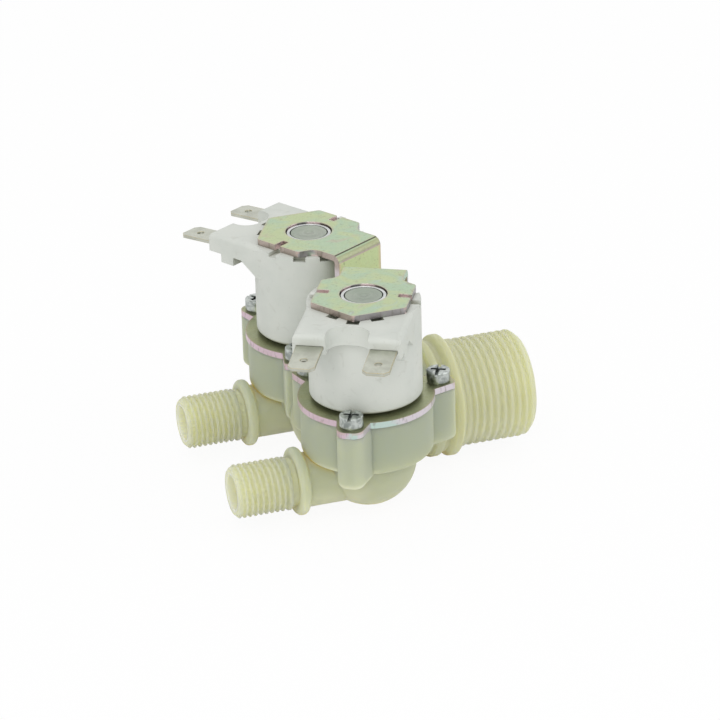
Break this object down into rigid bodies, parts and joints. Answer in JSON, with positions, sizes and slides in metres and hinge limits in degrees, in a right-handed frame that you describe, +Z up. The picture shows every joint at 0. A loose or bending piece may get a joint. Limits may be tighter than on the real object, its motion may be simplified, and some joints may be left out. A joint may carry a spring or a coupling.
{
  "type": "double solenoid valve",
  "caption": "Water inlet valve with a threaded inlet, a threaded outlet on each of its solenoid units, forked connector blocks with push-on tabs, and folded steel yokes.",
  "frame": {"origin": "middle of the inlet's mouth, on the inlet's axis", "axes": "+X out of the inlet, +Z up along the coils, +Y to the rear unit"},
  "size_m": [0.0797, 0.1056, 0.0541],
  "materials": {
    "body_plastic": "semi-gloss",
    "strainer_plastic": "satin",
    "zinc_plate": "yellow zinc",
    "coil_plastic": "satin",
    "bobbin_plastic": "satin",
    "copper_wire": "enamelled",
    "tab_metal": "tinned",
    "bush_steel": "bright",
    "tube_plastic": "satin",
    "plunger_steel": "ground",
    "seal_rubber": "matt",
    "spring_steel": "bright",
    "insert_plastic": "satin",
    "screw_steel": "blue zinc"
  },
  "bodies": {
    "valve": {"valve_body": "body_plastic", "inlet_strainer": "strainer_plastic", "front_yoke": "zinc_plate", "front_coil_housing": "coil_plastic", "front_bobbin": "bobbin_plastic", "front_winding": "copper_wire", "front_terminal_left": "tab_metal", "front_terminal_right": "tab_metal", "front_upper_sleeve": "bush_steel", "front_lower_sleeve": "bush_steel", "front_guide_tube": "tube_plastic", "front_spring": "spring_steel", "front_diaphragm": "seal_rubber", "front_screws": "screw_steel", "rear_yoke": "zinc_plate", "rear_coil_housing": "coil_plastic", "rear_bobbin": "bobbin_plastic", "rear_winding": "copper_wire", "rear_terminal_left": "tab_metal", "rear_terminal_right": "tab_metal", "rear_upper_sleeve": "bush_steel", "rear_lower_sleeve": "bush_steel", "rear_guide_tube": "tube_plastic", "rear_spring": "spring_steel", "rear_diaphragm": "seal_rubber", "rear_screws": "screw_steel"},
    "front_plunger": {"front_plunger": "plunger_steel", "front_plunger_seal": "seal_rubber"},
    "front_insert": {"front_diaphragm_insert": "insert_plastic"},
    "rear_plunger": {"rear_plunger": "plunger_steel", "rear_plunger_seal": "seal_rubber"},
    "rear_insert": {"rear_diaphragm_insert": "insert_plastic"}
  },
  "joints": [
    {"name": "front_plunger_lift", "type": "slide", "parent": "valve", "child": "front_plunger", "axis": [0, 0, 1], "range_m": [0, 0.0024], "stiffness_N_per_m": 150, "springref_m": -0.008, "deforming": ["front_spring"]},
    {"name": "front_insert_lift", "type": "slide", "parent": "valve", "child": "front_insert", "axis": [0, 0, 1], "range_m": [0, 0.0016], "deforming": ["front_diaphragm"]},
    {"name": "rear_plunger_lift", "type": "slide", "parent": "valve", "child": "rear_plunger", "axis": [0, 0, 1], "range_m": [0, 0.0024], "stiffness_N_per_m": 150, "springref_m": -0.008, "deforming": ["rear_spring"]},
    {"name": "rear_insert_lift", "type": "slide", "parent": "valve", "child": "rear_insert", "axis": [0, 0, 1], "range_m": [0, 0.0016], "deforming": ["rear_diaphragm"]}
  ],
  "couplings": [
    {"joint": "front_insert_lift", "follows": "front_plunger_lift", "ratio": 0.65},
    {"joint": "rear_insert_lift", "follows": "rear_plunger_lift", "ratio": 0.65}
  ]
}
